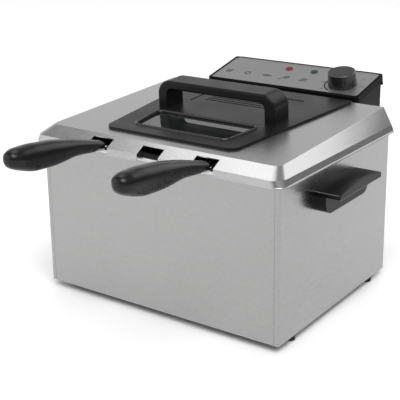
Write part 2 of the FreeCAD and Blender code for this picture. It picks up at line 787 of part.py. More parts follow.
def lid_insert():
    """The black moulding in the lid's top, with the window, the filter seat and screw holes."""
    body = new_body("lid_insert", LID)
    rise = dim("insert_rise")
    add(body, "XY", 0.02, rise, insert_outline(0, 14))
    add(body, "XY", -8, 0.1, insert_outline(6, 9))
    cut(body, "XY", -3.6, rise, window(0))
    cut(body, "XY", -8, -3.5, window(5))
    seat = box(-FILTER_HALF - 1, FILTER_LOW - 1, FILTER_HALF + 1, FILTER_HIGH + 1, 5)
    cut(body, "XY", 0.8, rise, seat)
    inner = box(-FILTER_HALF + 6, FILTER_LOW + 6, FILTER_HALF - 6, FILTER_HIGH - 6, 4)
    cut(body, "XY", -8, 1, inner)
    cut(body, "XY", -8, rise, *[circle(x, y, 2.1) for x, y in LID_SCREW_PLACES])


def lid_window():
    glass = new_body("window_glass", LID)
    add(glass, "XY", -2.6, 0.9, window(1.3))
    seal = new_body("window_seal", LID)
    add(seal, "XY", -3.5, 0.9, window(0.05), window(1.25))
    add(seal, "XY", -3.5, -2.65, window(0.05), window(4))


def lid_filter():
    """The lift-out filter under its slotted cover."""
    mat = new_body("filter_mat", LID)
    edge = FILTER_HALF - 6.5
    add(mat, "XY", -6, 0.7, box(-edge, FILTER_LOW + 6.5, edge, FILTER_HIGH - 6.5, 3.5))
    cover = new_body("filter_cover", LID)
    add(cover, "XY", 0.85, 2.4, box(-FILTER_HALF, FILTER_LOW, FILTER_HALF, FILTER_HIGH, 4))
    slots = [box(-56, y - 1.5, 56, y + 1.5, 1.4) for y in range(FILTER_LOW + 14, FILTER_HIGH - 10, 8)]
    cut(cover, "XY", 0.8, 2.5, *slots)


def lid_pan():
    """The steel baffle under the insert, open below the window and pierced below the filter."""
    body = new_body("lid_baffle", LID)
    outline = trapezoid(36, 238, 90, 115, 15)
    add(body, "XY", -14, -8.05, outline)
    cut(body, "XY", -13.2, -8, trapezoid(36, 238, 90, 115, 14.2, 0.8))
    cut(body, "XY", -14, -13, window(2))
    holes = [circle(x, y, 2.5) for x in range(-60, 61, 12) for y in range(FILTER_LOW + 8, FILTER_HIGH - 5, 12)]
    cut(body, "XY", -14, -13, *holes)


def lid_handle():
    """The bridge handle across the lid, with softened edges."""
    body = new_body("lid_handle", LID)
    half = dim("lid_handle_width") / 2
    seat = dim("insert_rise") + 0.02
    top = dim("insert_rise") + dim("lid_handle_height")
    leg = 16
    bar = 11.9
    arch = [
        (-half, seat), (leg - half, seat), (leg - half, top - bar, 8), (half - leg, top - bar, 8),
        (half - leg, seat), (half, seat), (half, top, 20), (-half, top, 20),
    ]
    add(body, "XZ", LID_HANDLE_FRONT, LID_HANDLE_FRONT + dim("lid_handle_depth"), arch)
    cut(body, "XY", seat, 18, *[circle(x, y, 1.7) for x, y in LID_SCREW_PLACES])
    front = LID_HANDLE_FRONT
    rear = LID_HANDLE_FRONT + number(dim("lid_handle_depth"))

    def on_face(edge):
        ys = [v.Point.y for v in edge.Vertexes]
        flat = all(abs(y - front) < 0.01 for y in ys) or all(abs(y - rear) < 0.01 for y in ys)
        return flat and edge.BoundBox.ZMax > number(seat) + 1

    round_edges(body, 2.5, on_face)
    screws("lid_handle_screws", LID, "XY", LID_SCREW_PLACES, (1.65, -8.02, 16), (3.6, -10.4, -8.02))


# ---------------------------------------------------------------- control unit

LAMP_PLACES = {"lamp_lens_red": (-18.2, 61.5), "lamp_lens_green": (24.7, 61.5)}
GLAND_X, GLAND_Z = -80, 150
RESET_X, RESET_Z = 42, 170
SWITCH_Z = 150
BACK_SCREW_PLACES = [(x, z) for x in (-115, 115) for z in (133, 215)]
ELEMENT_LEG = 25
BULB_X = 50
LEG_Y = 112


def panel_outline(front, rear, half, front_bend, rear_bend):
    """The panel seen square-on, with rounder corners at the rear."""
    return [(-half, front, front_bend), (half, front, front_bend), (half, rear, rear_bend), (-half, rear, rear_bend)]


def control_panel():
    """The sloping panel: a moulded cover with a rounded rear lip, and a brushed plate let into it."""
    body = new_body("panel_cover", PANEL)
    half = dim("panel_half_width")
    depth = dim("panel_depth")
    profile = [
        (-1, -9, 1.5), (84.2, -9), (84.2, -19, 0.8), (86, -19, 1), (88.7, -12, 6), (88.7, 0, 8), (-1, 0, 1.5),
    ]
    add(body, "YZ", -half, half, profile)
    cut(body, "XY", -9, -3, box(-half + 7, 3, half - 7, 74, 3))
    cut(body, "XY", -1, 0, panel_outline(2.5, depth - 3, half - 3.5, 4, 8))
    knob = circle(dim("knob_across"), dim("knob_along"), 5)
    cut(body, "XY", -3, -1, knob, *[circle(x, y, 4.7) for x, y in LAMP_PLACES.values()])
    outside = box(-half - 5, -5, half + 5, 95)
    cut(body, "XY", -20, 0.5, outside, panel_outline(-1, 88.7, half, 5, 12))
    plate = new_body("faceplate", PANEL)
    add(plate, "XY", -1, -0.2, panel_outline(2.8, depth - 3.3, half - 3.8, 3.7, 7.7))
    shaft = circle(dim("knob_across"), dim("knob_along"), 6)
    cut(plate, "XY", -1, -0.2, shaft, *[circle(x, y, 4.7) for x, y in LAMP_PLACES.values()])


def lamps():
    for name, (x, y) in LAMP_PLACES.items():
        lens = new_body(name, PANEL)
        add(lens, "XY", -6, -0.18, circle(x, y, 4.6))
        add(lens, "XY", -0.18, 0.9, circle(x, y, 5.6))
        round_edges(lens, 0.6, lambda edge: edge.BoundBox.ZMin > 0.8)
    holders = new_body("lamp_holders", PANEL)
    add(holders, "XY", -22, -6.05, *[circle(x, y, 4.4) for x, y in LAMP_PLACES.values()])


def knob_and_thermostat():
    across = dim("knob_across")
    along = dim("knob_along")
    radius = dim("knob_radius")
    ring = new_body("dial_ring", PANEL)
    add(ring, "XY", -0.18, 0.3, circle(across, along, radius + 6.5), circle(across, along, radius + 5.1))
    cut(ring, "XY", -0.2, 0.4, box(across - 12, along - 30, across + 30, along + 30))
    knob = new_body("control_knob", PANEL)
    top = dim("knob_height")
    add(knob, "XY", 0.5, 3, circle(across, along, radius + 0.9))
    add(knob, "XY", 3, top, circle(across, along, radius + 0.6), taper=-4)
    cut(knob, "XY", 0.5, 14, circle(across, along, 3.02))
    cut(knob, "XY", top - 0.6, top, box(across - 0.8, along + 8, across + 0.8, along + 17))
    round_edges(knob, 1.0, lambda edge: edge.BoundBox.ZMin > number(top) - 0.01
                and edge.BoundBox.XLength > number(radius))
    shaft = new_body("thermostat_shaft", PANEL)
    add(shaft, "XY", -22, 13.9, circle(across, along, 3))
    body = new_body("thermostat_body", PANEL)
    add(body, "XY", -34, -10, box(across - 17, along - 15, across + 17, along + 15, 2))
    add(body, "XY", -10, -1.05, circle(across, along, 4.8))
    cut(body, "XY", -24, -1, circle(across, along, 3.05))


def control_housing():
    """The box behind the casing: floor, front and sides, with ribs that slide in the rails."""
    body = new_body("control_housing", CASING)
    half = dim("unit_half_width")
    front = dim("unit_front")
    rear = dim("unit_rear")
    floor = dim("unit_floor")
    wall = 2.5
    add(body, "XY", floor, 250, box(-half, front, half, rear))
    cut(body, "XY", floor + wall, 250, box(wall - half, front + wall, half - wall, rear + 1))
    bosses = [box(x - 4.6, z - 5, x + 4.6, z + 5) for x, z in BACK_SCREW_PLACES]
    add(body, "XZ", rear - 20, rear - 2.05, *bosses)
    cut(body, "XZ", rear - 18, rear, *[circle(x, z, 1.7) for x, z in BACK_SCREW_PLACES])
    for x in RAIL_PLACES:
        rib = [
            (x - 8, 145.4), (x + 8, 145.4), (x + 8, 148.2), (x + 3, 148.2), (x + 3, 161),
            (x - 3, 161), (x - 3, 148.2), (x - 8, 148.2),
        ]
        add(body, "XY", floor + 8, RAIL_HIGH - 4, rib)
    cut(body, "XZ", front - 1, front + wall + 1, box(-57, 208, 57, 218.5), circle(0, SWITCH_Z, 1.75))
    slope = number(dim("panel_tilt"))
    clear_front = number(dim("panel_height")) - 9.1 / math.cos(math.radians(slope))
    rise = math.tan(math.radians(slope))
    low = clear_front + (150 - number(dim("panel_front"))) * rise
    high = clear_front + (250 - number(dim("panel_front"))) * rise
    cut(body, "YZ", -half - 1, half + 1, [(150, low), (250, high), (250, 262), (150, 262)])
    plate = new_body("back_plate", CASING)
    edge = half - wall - 0.2
    add(plate, "XZ", rear - 2, rear, box(-edge, floor + wall + 0.2, edge, high - 6.5))
    holes = [circle(x, z, 1.7) for x, z in BACK_SCREW_PLACES]
    holes += [circle(GLAND_X, GLAND_Z, 6.1), circle(RESET_X, RESET_Z, 3.2)]
    holes += [box(x - 1.5, 185, x + 1.5, 225, 1.4) for x in range(-48, 49, 8)]
    cut(plate, "XZ", rear - 3, rear + 1, *holes)
    screws("back_plate_screws", CASING, "XZ", BACK_SCREW_PLACES,
           (1.6, rear - 17, rear + 0.02), (3.6, rear + 0.02, rear + 2))


def control_fittings():
    """What the housing holds: gland, terminals, safety cut-out, its button and the interlock."""
    rear = dim("unit_rear")
    gland = new_body("cord_gland", CASING)
    add(gland, "XZ", rear - 5, rear - 2.02, circle(GLAND_X, GLAND_Z, 8.5))
    add(gland, "XZ", rear - 2.1, rear + 0.02, circle(GLAND_X, GLAND_Z, 6))
    add(gland, "XZ", rear + 0.02, rear + 2.5, circle(GLAND_X, GLAND_Z, 9))
    add(gland, "XZ", rear + 2.5, rear + 10.7, circle(GLAND_X, GLAND_Z, 6.2))
    cut(gland, "XZ", rear - 5, rear + 10.7, circle(GLAND_X, GLAND_Z, 3.6))
    block = new_body("terminal_block", CASING)
    add(block, "XY", 122.52, 138, box(-100, 180, -60, 198, 1))
    cut(block, "XY", 132, 138, *[circle(x, 189, 2.5) for x in (-92, -80, -68)])
    cutout = new_body("thermal_cutout", CASING)
    add(cutout, "XZ", rear - 24, rear - 2.02, box(RESET_X - 12, RESET_Z - 9, RESET_X + 12, RESET_Z + 9, 2))
    cut(cutout, "XZ", rear - 20, rear, circle(RESET_X, RESET_Z, 3.05))
    button = new_body("reset_button", CASING)
    add(button, "XZ", rear - 15, rear + 2.6, circle(RESET_X, RESET_Z, 3))
    round_edges(button, 0.6, lambda edge: edge.BoundBox.YMin > number(rear) + 2.5)
    switch = new_body("interlock_switch", CASING)
    add(switch, "XZ", 163, 184, box(-10, SWITCH_Z - 8, 10, SWITCH_Z + 8, 1.5))
    cut(switch, "XZ", 162, 178, circle(0, SWITCH_Z, 1.75))
    plunger = new_body("interlock_plunger", CASING)
    add(plunger, "XZ", number(HALF_DEPTH) + 5.7, 176, circle(0, SWITCH_Z, 1.7))


def heating_element():
    """The tubular element, its hanging plate, hood, clamp, and the thermostat's bulb and tube."""
    level = number(dim("element_level"))
    channel = number(dim("channel_level"))
    radius = number(dim("element_radius"))
    leg = ELEMENT_LEG
    half = [
        (-leg, 178, channel), (-leg, LEG_Y, channel), (-leg, LEG_Y, level), (-leg, -78, level),
        (-78, -78, level), (-78, 85, level), (-130, 85, level), (-130, -105, level),
    ]
    mirrored = [(-x, y, z) for x, y, z in reversed(half)]
    solid_feature("heating_element", bent_rod(half + mirrored, radius, 14), CASING)
    bracket = new_body("element_bracket", CASING)
    plate_y = LEG_Y + radius + 3
    add(bracket, "XY", 70, 207.6, box(-60, plate_y, 60, plate_y + 1.2))
    add(bracket, "XY", 206.6, 207.6, box(-60, plate_y, 60, 159.9))
    add(bracket, "XZ", 158.7, 159.95, box(-60, 195, 60, 207.6))
    for x in (-leg, leg):
        cut(bracket, "XY", 203, 207.7, box(x - 4.6, 118, x + 4.6, 122.5))
    hood = new_body("element_hood", CASING)
    add(hood, "XY", 207.65, 219, box(-60, 104, 60, 159.9, 2))
    cut(hood, "XY", 207.65, 218, box(-59, 105, 59, 161))
    clamp = new_body("element_clamp", CASING)
    add(clamp, "XY", 145, 155, box(-34, 106, 34, plate_y - 0.02, 2))
    cut(clamp, "XY", 145, 155, circle(-leg, LEG_Y, radius + 0.03), circle(leg, LEG_Y, radius + 0.03))
    clips = new_body("bulb_clips", CASING)
    for low in (128, 168):
        add(clips, "XY", low, low + 6, box(BULB_X - 5, 107.5, BULB_X + 5, plate_y - 0.02, 1))
    cut(clips, "XY", 127, 175, circle(BULB_X, LEG_Y, 3.03))
    bulb = new_body("thermostat_bulb", CASING)
    add(bulb, "XY", 100, 190, circle(BULB_X, LEG_Y, 3))
    tube = [(BULB_X, LEG_Y, 190.02), (BULB_X, LEG_Y, channel), (BULB_X, 178, channel)]
    solid_feature("capillary_tube", bent_rod(tube, 1.0, 10), CASING)


# ---------------------------------------------------------------- build, check and write

def check_and_write():
    doc.recompute()
    for item in doc.Objects:
        if "Invalid" in item.State or "Error" in item.State:
            raise RuntimeError(f"{item.Name} is {item.State}")
    os.makedirs("parts", exist_ok=True)
    for item in SUB_PARTS:
        shape = item.Shape
        if shape.isNull() or not shape.isValid() or shape.Volume <= 0:
            raise RuntimeError(f"{item.Label} has no valid shape")
        shape.exportStep(f"parts/{item.Label}.step")
    print(f"{len(SUB_PARTS)} sub-parts written")


casing_wrapper()
casing_front()
rim_frame()
base_plate()
feet()
side_handle("side_handle_left", -1)
side_handle("side_handle_right", 1)
side_handle_screws()
guide_rails()
oil_pot()
baskets()
lid_shell()
lid_insert()
lid_window()
lid_filter()
lid_pan()
lid_handle()
control_panel()
lamps()
knob_and_thermostat()
control_housing()
control_fittings()
heating_element()
check_and_write()
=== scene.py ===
import json
import math

import bmesh
import bpy
import numpy as np
from mathutils import Matrix, Vector
from mathutils.geometry import convex_hull_2d


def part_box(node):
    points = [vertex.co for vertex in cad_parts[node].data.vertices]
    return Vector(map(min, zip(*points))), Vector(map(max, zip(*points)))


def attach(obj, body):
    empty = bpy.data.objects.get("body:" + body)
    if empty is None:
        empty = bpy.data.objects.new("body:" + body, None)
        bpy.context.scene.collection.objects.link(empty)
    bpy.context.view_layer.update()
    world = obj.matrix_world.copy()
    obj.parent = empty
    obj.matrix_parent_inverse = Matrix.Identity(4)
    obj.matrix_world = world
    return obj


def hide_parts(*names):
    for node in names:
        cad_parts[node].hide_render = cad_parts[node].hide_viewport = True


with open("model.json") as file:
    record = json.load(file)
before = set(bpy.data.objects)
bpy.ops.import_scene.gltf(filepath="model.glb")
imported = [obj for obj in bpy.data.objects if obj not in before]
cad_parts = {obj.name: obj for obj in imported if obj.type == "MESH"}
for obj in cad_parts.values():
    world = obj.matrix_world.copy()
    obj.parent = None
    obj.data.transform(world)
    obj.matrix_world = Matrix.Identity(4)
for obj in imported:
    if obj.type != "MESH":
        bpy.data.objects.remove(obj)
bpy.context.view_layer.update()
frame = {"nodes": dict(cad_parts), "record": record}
MM = 0.001

# ---------------------------------------------------------------- camera, lights and floor

CAMERA_PLACE = Vector((0.7249, -1.0237, 0.5730))
CAMERA_YAW = math.radians(35.14)
CAMERA_PITCH = math.radians(17.69)
CAMERA_ROLL = math.radians(-0.70)
CAMERA_LENS = 88.9
CAMERA_SENSOR = 36.0
CAMERA_SHIFT_X = -0.02
CAMERA_SHIFT_Y = -0.08


def make_camera():
    """The camera of the main view. Yaw turns it round the object and pitch raises it."""
    data = bpy.data.cameras.new("camera")
    data.lens = CAMERA_LENS
    data.sensor_width = CAMERA_SENSOR
    data.shift_x = CAMERA_SHIFT_X
    data.shift_y = CAMERA_SHIFT_Y
    data.clip_start = 0.01
    camera = bpy.data.objects.new("camera", data)
    bpy.context.scene.collection.objects.link(camera)
    yaw, pitch, roll = CAMERA_YAW, CAMERA_PITCH, CAMERA_ROLL
    back = Vector((math.sin(yaw) * math.cos(pitch), -math.cos(yaw) * math.cos(pitch), math.sin(pitch)))
    level = Vector((math.cos(yaw), math.sin(yaw), 0.0))
    upright = back.cross(level)
    right = level * math.cos(roll) + upright * math.sin(roll)
    up = upright * math.cos(roll) - level * math.sin(roll)
    matrix = Matrix((right, up, back)).transposed().to_4x4()
    matrix.translation = CAMERA_PLACE
    camera.matrix_world = matrix
    bpy.context.scene.camera = camera


# Brightness of the studio's walls: (upward part of the direction, level) from the horizon to overhead.
LEFT_WALL = [(0.0, 0.95), (0.2, 0.9), (0.5, 0.55), (0.72, 0.32), (1.0, 0.2)]
RIGHT_WALL = [(0.0, 0.5), (0.06, 0.14), (0.28, 0.16), (0.45, 0.6), (0.8, 0.4), (1.0, 0.2)]
WALLS_MEET = (-0.45, 0.25)


def make_world():
    """A plain studio: pale overhead and to the left, with a dimmer wall low down on the right."""
    world = bpy.data.worlds.new("studio")
    bpy.context.scene.world = world
    world.use_nodes = True
    nodes, links = world.node_tree.nodes, world.node_tree.links
    direction = nodes.new("ShaderNodeTexCoord")
    split = nodes.new("ShaderNodeSeparateXYZ")
    links.new(direction.outputs["Generated"], split.inputs["Vector"])

    def wall(stops):
        node = nodes.new("ShaderNodeValToRGB")
        elements = node.color_ramp.elements
        while len(elements) < len(stops):
            elements.new(0.5)
        for element, (height, level) in zip(elements, stops):
            element.position = height
            element.color = (level, level, level, 1.0)
        links.new(split.outputs["Z"], node.inputs["Fac"])
        return node.outputs["Color"]

    across = nodes.new("ShaderNodeMapRange")
    across.interpolation_type = "SMOOTHSTEP"
    across.inputs["From Min"].default_value = WALLS_MEET[0]
    across.inputs["From Max"].default_value = WALLS_MEET[1]
    links.new(split.outputs["X"], across.inputs["Value"])
    mix = nodes.new("ShaderNodeMix")
    mix.data_type = "RGBA"
    links.new(across.outputs["Result"], mix.inputs["Factor"])
    links.new(wall(LEFT_WALL), mix.inputs["A"])
    links.new(wall(RIGHT_WALL), mix.inputs["B"])
    links.new(mix.outputs["Result"], nodes["Background"].inputs["Color"])


SUN_ENERGY = 2.7
SUN_SPREAD = math.radians(45)
SUN_WAY = Vector((-0.38, 0.42, -0.82))
AREA_LIGHTS = [
    # name, place, aimed at, size, power in watts
    ("overhead", (-0.45, 0.1, 1.5), (-0.1, 0.0, 0.1), (0.55, 0.9), 3),
    ("behind", (0.45, 1.5, 1.2), (0.0, 0.0, 0.2), (1.3, 1.2), 6),
    ("fill", (-1.3, -1.7, 1.0), (0.0, 0.0, 0.12), (1.2, 1.0), 5),
]


def add_light(data, way, place=(0.0, 0.0, 0.0)):
    """Puts a light in the scene, shining along a direction."""
    light = bpy.data.objects.new(data.name, data)
    bpy.context.scene.collection.objects.link(light)
    light.location = Vector(place)
    light.rotation_euler = Vector(way).to_track_quat("-Z", "Y").to_euler()


def make_lights():
    """A broad soft source from the front right, a box overhead, one behind and a weak fill."""
    broad = bpy.data.lights.new("broad", "SUN")
    broad.energy = SUN_ENERGY
    broad.angle = SUN_SPREAD
    add_light(broad, SUN_WAY)
    for name, place, aim, size, power in AREA_LIGHTS:
        data = bpy.data.lights.new(name, "AREA")
        data.shape = "RECTANGLE"
        data.size, data.size_y = size
        data.energy = power
        add_light(data, Vector(aim) - Vector(place), place)


FLOOR_SIZE = 12.0
FLOOR_TONE = 0.93


def make_floor():
    """A plain, nearly white floor with a faint sheen."""
    bpy.ops.mesh.primitive_plane_add(size=FLOOR_SIZE, location=(0, 0, 0))
    floor = bpy.context.object
    floor.name = "floor"
    material = bpy.data.materials.new("floor_white")
    material.use_nodes = True
    shader = material.node_tree.nodes["Principled BSDF"]
    shader.inputs["Base Color"].default_value = (FLOOR_TONE, FLOOR_TONE, FLOOR_TONE, 1.0)
    shader.inputs["Roughness"].default_value = 0.35
    shader.inputs["Specular IOR Level"].default_value = 0.3
    floor.data.materials.append(material)


# ---------------------------------------------------------------- materials

class Surface:
    """A material under construction, with short calls for the nodes that it needs."""

    def __init__(self, name, **settings):
        self.material = bpy.data.materials.new(name)
        self.material.use_nodes = True
        self.tree = self.material.node_tree
        self.shader = self.tree.nodes["Principled BSDF"]
        for socket, value in settings.items():
            self.shader.inputs[socket.replace("_", " ")].default_value = value

    def node(self, kind, **settings):
        node = self.tree.nodes.new(kind)
        for key, value in settings.items():
            setattr(node, key, value)
        return node

    def link(self, source, target):
        self.tree.links.new(source, target)

    def stretched(self, scale=(1.0, 1.0, 1.0)):
        """Object coordinates, scaled along each axis."""
        coordinates = self.node("ShaderNodeTexCoord")
        mapping = self.node("ShaderNodeMapping")
        mapping.inputs["Scale"].default_value = scale
        self.link(coordinates.outputs["Object"], mapping.inputs["Vector"])
        return mapping.outputs["Vector"]

    def noise(self, scale, vector=None, detail=3.0, roughness=0.55):
        noise = self.node("ShaderNodeTexNoise")
        noise.inputs["Scale"].default_value = scale
        noise.inputs["Detail"].default_value = detail
        noise.inputs["Roughness"].default_value = roughness
        if vector is None:
            vector = self.stretched()
        self.link(vector, noise.inputs["Vector"])
        return noise.outputs["Fac"]

    def between(self, factor, low, high, low_at=0.3, high_at=0.7):
        """Turns a noise factor into a value, or a colour, between two ends."""
        spread = self.node("ShaderNodeMapRange")
        spread.inputs["From Min"].default_value = low_at
        spread.inputs["From Max"].default_value = high_at
        self.link(factor, spread.inputs["Value"])
        if isinstance(low, (int, float)):
            spread.inputs["To Min"].default_value = low
            spread.inputs["To Max"].default_value = high
            return spread.outputs["Result"]
        mix = self.node("ShaderNodeMix", data_type="RGBA")
        self.link(spread.outputs["Result"], mix.inputs["Factor"])
        mix.inputs["A"].default_value = (*low, 1.0)
        mix.inputs["B"].default_value = (*high, 1.0)
        return mix.outputs["Result"]

    def colour(self, socket):
        self.link(socket, self.shader.inputs["Base Color"])

    def rough(self, socket):
        self.link(socket, self.shader.inputs["Roughness"])

    def bump(self, height, strength, distance):
        bump = self.node("ShaderNodeBump")
        bump.inputs["Strength"].default_value = strength
        bump.inputs["Distance"].default_value = distance
        self.link(height, bump.inputs["Height"])
        self.link(bump.outputs["Normal"], self.shader.inputs["Normal"])


def brushed(name, grain, light, dark, roughness, depth):
    """Brushed steel. grain is the fineness of the pattern along each axis, coarse along the brush."""
    surface = Surface(name, Metallic=1.0)
    fine = surface.noise(1.0, surface.stretched(grain), detail=4.0, roughness=0.7)
    cloudy = surface.noise(9.0, detail=2.0)
    surface.colour(surface.between(fine, dark, light, 0.2, 0.8))
    blend = surface.node("ShaderNodeMath", operation="ADD")
    surface.link(surface.between(fine, roughness - 0.05, roughness + 0.06), blend.inputs[0])
    surface.link(surface.between(cloudy, -0.015, 0.02), blend.inputs[1])
    surface.rough(blend.outputs["Value"])
    surface.bump(fine, depth, 0.0001)
    return surface.material


def plain_metal(name, tone, roughness):
    """Drawn or rolled metal with no direction to its grain."""
    surface = Surface(name, Metallic=1.0)
    cloudy = surface.noise(14.0, detail=5.0)
    fine = surface.noise(900.0, detail=2.0)
    surface.colour(surface.between(cloudy, [value * 0.93 for value in tone], tone))
    surface.rough(surface.between(cloudy, roughness - 0.06, roughness + 0.06))
    surface.bump(fine, 0.15, 0.0001)
    return surface.material


def plastic(name, tone, roughness, grain=1600.0, depth=0.25, specular=0.5):
    """Moulded plastic, paint or glazed ceramic with a fine texture."""
    surface = Surface(name, Specular_IOR_Level=specular)
    cloudy = surface.noise(22.0, detail=4.0)
    fine = surface.noise(grain, detail=2.0)
    surface.colour(surface.between(cloudy, tone, [value * 1.25 + 0.001 for value in tone]))
    surface.rough(surface.between(cloudy, roughness - 0.04, roughness + 0.05))
    surface.bump(fine, depth, 0.00006)
    return surface.material


def rubber(name, level):
    surface = Surface(name, Specular_IOR_Level=0.3)
    fine = surface.noise(1200.0, detail=3.0)
    dusty = surface.noise(40.0, detail=4.0)
    surface.colour(surface.between(dusty, [level] * 3, [level + 0.015] * 3))
    surface.rough(surface.between(fine, 0.7, 0.9))
    surface.bump(fine, 0.4, 0.0001)
    return surface.material


def dark_glass(name):
    surface = Surface(name, Specular_IOR_Level=0.9, IOR=1.9, Alpha=0.8)
    smear = surface.noise(30.0, detail=5.0)
    surface.colour(surface.between(smear, (0.012, 0.0125, 0.013), (0.018, 0.0185, 0.019)))
    surface.rough(surface.between(smear, 0.01, 0.04))
    surface.bump(smear, 0.01, 0.0001)
    return surface.material


def lens(name, middle, edge):
    """A moulded lamp lens with small cells, each a little darker at its edge."""
    surface = Surface(name, Specular_IOR_Level=0.35)
    cells = surface.node("ShaderNodeTexVoronoi")
    cells.inputs["Scale"].default_value = 700.0
    surface.link(surface.stretched(), cells.inputs["Vector"])
    surface.colour(surface.between(cells.outputs["Distance"], middle, edge, 0.0, 0.7))
    surface.rough(surface.between(surface.noise(60.0), 0.12, 0.22))
    surface.bump(cells.outputs["Distance"], 0.25, 0.0003)
    return surface.material


def felt(name):
    surface = Surface(name, Specular_IOR_Level=0.1, Sheen_Weight=0.3)
    fibres = surface.noise(700.0, detail=6.0, roughness=0.8)
    surface.colour(surface.between(fibres, (0.05, 0.05, 0.05), (0.16, 0.16, 0.155)))
    surface.rough(surface.between(fibres, 0.85, 1.0))
    surface.bump(fibres, 0.8, 0.0006)
    return surface.material


MATERIALS = {
    "casing_steel": brushed(
        "casing_steel", (90.0, 90.0, 3200.0), (0.41, 0.41, 0.408), (0.32, 0.32, 0.318), 0.25, 0.16),
    "lid_steel": brushed(
        "lid_steel", (70.0, 3200.0, 3200.0), (0.55, 0.55, 0.548), (0.45, 0.45, 0.448), 0.27, 0.16),
    "panel_steel": brushed(
        "panel_steel", (90.0, 2800.0, 2800.0), (0.52, 0.52, 0.52), (0.38, 0.38, 0.38), 0.40, 0.2),
    "inner_steel": plain_metal("inner_steel", (0.60, 0.60, 0.60), 0.30),
    "plain_screw_steel": plain_metal("plain_screw_steel", (0.58, 0.58, 0.60), 0.32),
    "basket_wire": plain_metal("basket_wire", (0.74, 0.74, 0.74), 0.18),
    "element_tube": plain_metal("element_tube", (0.30, 0.28, 0.26), 0.38),
    "copper_tube": plain_metal("copper_tube", (0.78, 0.44, 0.30), 0.30),
    "base_paint": plastic("base_paint", (0.045, 0.045, 0.05), 0.45, grain=300.0),
    "black_satin": plastic("black_satin", (0.004, 0.004, 0.0043), 0.34, specular=0.2),
    "black_grip": plastic("black_grip", (0.005, 0.005, 0.0053), 0.27, depth=0.06, specular=0.3),
    "black_gloss": plastic("black_gloss", (0.011, 0.011, 0.0115), 0.26, depth=0.08, specular=0.5),
    "black_fittings": plastic("black_fittings", (0.03, 0.03, 0.03), 0.5),
    "ceramic_white": plastic("ceramic_white", (0.66, 0.65, 0.60), 0.45),
    "foot_rubber": rubber("foot_rubber", 0.012),
    "seal_rubber": rubber("seal_rubber", 0.016),
    "filter_felt": felt("filter_felt"),
    "window": dark_glass("window"),
    "lens_red": lens("lens_red", (0.19, 0.005, 0.007), (0.07, 0.003, 0.004)),
    "lens_green": lens("lens_green", (0.004, 0.05, 0.035), (0.003, 0.022, 0.016)),
    "dial_black": plastic("dial_black", (0.004, 0.004, 0.004), 0.5, specular=0.05),
    "reset_red": plastic("reset_red", (0.35, 0.02, 0.02), 0.35),
}
# Two mouldings are duller than the other nodes that share their slots.
DULLER = {
    "panel_cover": plastic("panel_border", (0.004, 0.004, 0.004), 0.4, specular=0.04),
    "control_housing": plastic("housing_black", (0.004, 0.004, 0.004), 0.42, specular=0.08),
}
# Lighter than the black mouldings, with strong specular: a painted highlight for the thin bead lines on the
# hoods and round the knob.
PAINTED_HIGHLIGHT_EDGE = plastic("painted_highlight_edge", (0.07, 0.07, 0.07), 0.22, depth=0.05, specular=1.0)
PRINT_DARK = plastic("print_dark", (0.04, 0.04, 0.04), 0.5, specular=0.1)
PRINT_GREY = plastic("print_grey", (0.07, 0.07, 0.07), 0.5, specular=0.1)


def dress_cad_nodes():
    """Gives every CAD node the material of its slot, or its own duller one."""
    slots = {part["node"]: part["material_slot"] for part in frame["record"]["subparts"]}
    for name, node in frame["nodes"].items():
        material = DULLER.get(name, MATERIALS[slots[name]])
        for slot in node.material_slots:
            slot.material = material


# Width of the softened edges in millimetres.
SOFT_EDGES = {
    "lid_shell": 0.7, "casing_front": 0.25, "casing_wrapper": 0.25, "lid_insert": 1.2,
    "side_handle_left": 1.1, "side_handle_right": 1.1, "lid_handle": 0.9, "panel_cover": 0.8,
    "control_housing": 0.8, "back_plate": 0.4, "filter_cover": 0.3, "faceplate": 0.15,
    "cord_gland": 0.5, "oil_pot": 0.4,
}
SOFT_EDGE_ANGLE = math.radians(28)


def soften_edges():
    """Rounds the sharp edges of sheet and mouldings a little, so that they catch the light."""
    for name, width in SOFT_EDGES.items():
        bevel = frame["nodes"][name].modifiers.new("edge", "BEVEL")
        bevel.width = width * MM
        bevel.segments = 2
        bevel.limit_method = "ANGLE"
        bevel.angle_limit = SOFT_EDGE_ANGLE
        bevel.harden_normals = True


# ---------------------------------------------------------------- mesh helpers

MERGE_DISTANCE = 1e-6
STEEP = 0.9
STEEP_GUIDE = np.array([0.31, 0.95, 0.0])
UPRIGHT_GUIDE = np.array([0.0, 0.0, 1.0])


